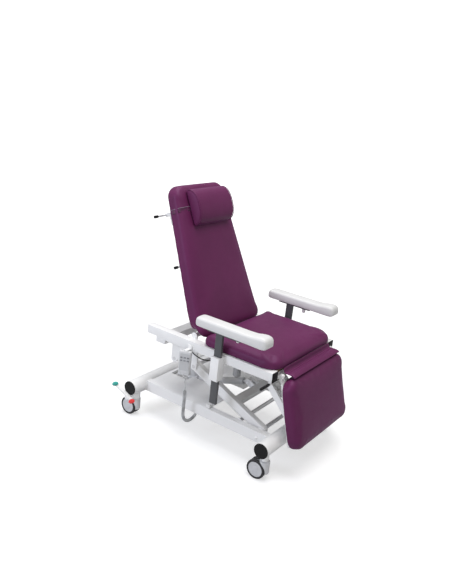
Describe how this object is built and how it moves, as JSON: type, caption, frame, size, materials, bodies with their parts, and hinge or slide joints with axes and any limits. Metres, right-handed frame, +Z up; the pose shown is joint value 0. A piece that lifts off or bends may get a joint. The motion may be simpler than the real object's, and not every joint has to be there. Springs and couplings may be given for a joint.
{
  "type": "rest chair",
  "caption": "reclining treatment chair on a wheeled base, with a parallel-arm lift, motorised back and leg sections, headrest roll, height-adjustable armrests and a corded handset",
  "frame": {"origin": "on the floor, under the middle of the bounding box: X midway between the two sides, Y midway between the foremost and rearmost points", "axes": "+Z up; -Y is the way the chair faces; +X is the sitter's left"},
  "size_m": [0.825, 1.0883, 1.2791],
  "materials": {
    "frame_white": "satin",
    "cover_white": "gloss",
    "cap_black": "matte",
    "fitting_white": "satin",
    "motor_grey": "matte",
    "motor_light": "satin",
    "shaft_steel": "brushed",
    "caster_grey": "satin",
    "tyre_dark": "matte",
    "pad_green": "matte",
    "pad_red": "matte",
    "vinyl": "satin",
    "board": "matte",
    "armrest_white": "satin",
    "post_grey": "matte",
    "handset_grey": "satin",
    "key_grey": "matte",
    "cord_grey": "satin",
    "cable_black": "matte"
  },
  "bodies": {
    "base": {"base_frame": "frame_white", "base_cover": "cover_white", "tube_caps": "cap_black", "side_fittings": "fitting_white", "control_box": "motor_grey", "base_shafts": "shaft_steel", "handset_lead": "cord_grey", "handset_curl": "cord_grey"},
    "brake": {"brake_bar": "frame_white", "brake_pad_rear": "pad_green", "brake_pad_front": "pad_red"},
    "lift_arm": {"lift_arms": "frame_white"},
    "guide_arm": {"guide_arms": "frame_white"},
    "lift_motor": {"lift_motor": "motor_light"},
    "lift_rod": {"lift_rod": "shaft_steel"},
    "seat": {"seat_frame": "frame_white", "rail_caps": "cap_black", "frame_shafts": "shaft_steel", "arm_sleeves": "frame_white", "seat_board": "board", "seat_cushion": "vinyl", "cable_wrap": "fitting_white", "motor_cable": "cable_black", "back_motor": "motor_grey", "leg_motor": "motor_grey", "hinge_flap": "vinyl", "handset": "handset_grey", "handset_keys": "key_grey", "handset_hook": "fitting_white"},
    "backrest": {"back_frame": "frame_white", "back_cushion": "vinyl", "roll_rods": "shaft_steel", "roll_tips": "cap_black"},
    "headrest": {"headrest": "vinyl", "headrest_strap": "vinyl"},
    "back_rod": {"back_rod": "shaft_steel"},
    "leg_section": {"leg_frame": "frame_white", "leg_cushion": "vinyl"},
    "leg_rod": {"leg_rod": "shaft_steel"},
    "leg_handle": {"leg_handle": "cap_black"},
    "armrest_r": {"arm_post_r": "post_grey", "arm_plate_r": "post_grey", "arm_pad_r": "armrest_white"},
    "armrest_l": {"arm_post_l": "post_grey", "arm_plate_l": "post_grey", "arm_pad_l": "armrest_white"},
    "knob_r": {"arm_knob_r": "fitting_white"},
    "knob_l": {"arm_knob_l": "fitting_white"},
    "swivel_fr": {"housing_fr": "caster_grey"},
    "wheel_fr": {"hubs_fr": "caster_grey", "tyres_fr": "tyre_dark"},
    "swivel_fl": {"housing_fl": "caster_grey"},
    "wheel_fl": {"hubs_fl": "caster_grey", "tyres_fl": "tyre_dark"},
    "swivel_rr": {"housing_rr": "caster_grey"},
    "wheel_rr": {"hubs_rr": "caster_grey", "tyres_rr": "tyre_dark"},
    "swivel_rl": {"housing_rl": "caster_grey"},
    "wheel_rl": {"hubs_rl": "caster_grey", "tyres_rl": "tyre_dark"}
  },
  "joints": [
    {"name": "swivel_fr", "type": "hinge", "parent": "base", "child": "swivel_fr", "pos_m": [-0.315, -0.402, 0.105], "axis": [0, 0, 1], "continuous": true},
    {"name": "wheel_fr", "type": "hinge", "parent": "swivel_fr", "child": "wheel_fr", "pos_m": [-0.315, -0.367, 0.05], "axis": [1, 0, 0], "continuous": true},
    {"name": "swivel_fl", "type": "hinge", "parent": "base", "child": "swivel_fl", "pos_m": [0.315, -0.402, 0.105], "axis": [0, 0, 1], "continuous": true},
    {"name": "wheel_fl", "type": "hinge", "parent": "swivel_fl", "child": "wheel_fl", "pos_m": [0.315, -0.367, 0.05], "axis": [1, 0, 0], "continuous": true},
    {"name": "swivel_rr", "type": "hinge", "parent": "base", "child": "swivel_rr", "pos_m": [-0.315, 0.446, 0.105], "axis": [0, 0, 1], "continuous": true},
    {"name": "wheel_rr", "type": "hinge", "parent": "swivel_rr", "child": "wheel_rr", "pos_m": [-0.315, 0.481, 0.05], "axis": [1, 0, 0], "continuous": true},
    {"name": "swivel_rl", "type": "hinge", "parent": "base", "child": "swivel_rl", "pos_m": [0.315, 0.446, 0.105], "axis": [0, 0, 1], "continuous": true},
    {"name": "wheel_rl", "type": "hinge", "parent": "swivel_rl", "child": "wheel_rl", "pos_m": [0.315, 0.481, 0.05], "axis": [1, 0, 0], "continuous": true},
    {"name": "brake", "type": "hinge", "parent": "base", "child": "brake", "pos_m": [0, 0.446, 0.132], "axis": [-1, 0, 0], "range_deg": [0, 35]},
    {"name": "lift", "type": "hinge", "parent": "base", "child": "lift_arm", "pos_m": [0, -0.308, 0.19], "axis": [1, 0, 0], "range_deg": [0, 40]},
    {"name": "lift_seat", "type": "hinge", "parent": "lift_arm", "child": "seat", "pos_m": [0, 0.13219, 0.3814], "axis": [1, 0, 0], "range_deg": [-40, 0]},
    {"name": "lift_guide", "type": "hinge", "parent": "base", "child": "guide_arm", "pos_m": [0, -0.178, 0.19], "axis": [1, 0, 0], "range_deg": [0, 40]},
    {"name": "lift_motor", "type": "hinge", "parent": "base", "child": "lift_motor", "pos_m": [0, 0.342, 0.15], "axis": [-1, 0, 0], "range_deg": [0, 7.78]},
    {"name": "lift_rod", "type": "slide", "parent": "lift_motor", "child": "lift_rod", "axis": [0, -0.9461, 0.3237], "range_m": [0, 0.1607]},
    {"name": "recline", "type": "hinge", "parent": "seat", "child": "backrest", "pos_m": [0, 0.1305, 0.56], "axis": [-1, 0, 0], "range_deg": [0, 62]},
    {"name": "recline_rod", "type": "slide", "parent": "seat", "child": "back_rod", "axis": [0, 1, 0.0003], "range_m": [-0.1237, 0]},
    {"name": "headrest_slide", "type": "slide", "parent": "backrest", "child": "headrest", "axis": [0, 0.3987, 0.9171], "range_m": [0, 0.06]},
    {"name": "leg_raise", "type": "hinge", "parent": "seat", "child": "leg_section", "pos_m": [0, -0.39, 0.52], "axis": [-1, 0, 0], "range_deg": [0, 75]},
    {"name": "leg_raise_rod", "type": "slide", "parent": "seat", "child": "leg_rod", "axis": [0, -0.9996, -0.0296], "range_m": [0, 0.1572]},
    {"name": "leg_handle", "type": "slide", "parent": "seat", "child": "leg_handle", "axis": [-1, 0, 0], "range_m": [0, 0.015], "stiffness_N_per_m": 400},
    {"name": "armrest_r", "type": "slide", "parent": "seat", "child": "armrest_r", "axis": [0, 0, 1], "range_m": [0, 0.1]},
    {"name": "knob_r", "type": "slide", "parent": "armrest_r", "child": "knob_r", "axis": [0, 0, 1], "range_m": [0, 0.003], "stiffness_N_per_m": 400},
    {"name": "armrest_l", "type": "slide", "parent": "seat", "child": "armrest_l", "axis": [0, 0, 1], "range_m": [0, 0.1]},
    {"name": "knob_l", "type": "slide", "parent": "armrest_l", "child": "knob_l", "axis": [0, 0, 1], "range_m": [0, 0.003], "stiffness_N_per_m": 400}
  ],
  "couplings": [
    {"joint": "lift_seat", "follows": "lift", "ratio": -1},
    {"joint": "lift_guide", "follows": "lift", "ratio": 1},
    {"joint": "lift_motor", "follows": "lift", "ratio": 0.19449},
    {"joint": "lift_rod", "follows": "lift", "m_per_rad": 0.23017},
    {"joint": "recline_rod", "follows": "recline", "m_per_rad": -0.11423},
    {"joint": "leg_raise_rod", "follows": "leg_raise", "m_per_rad": 0.12002}
  ]
}
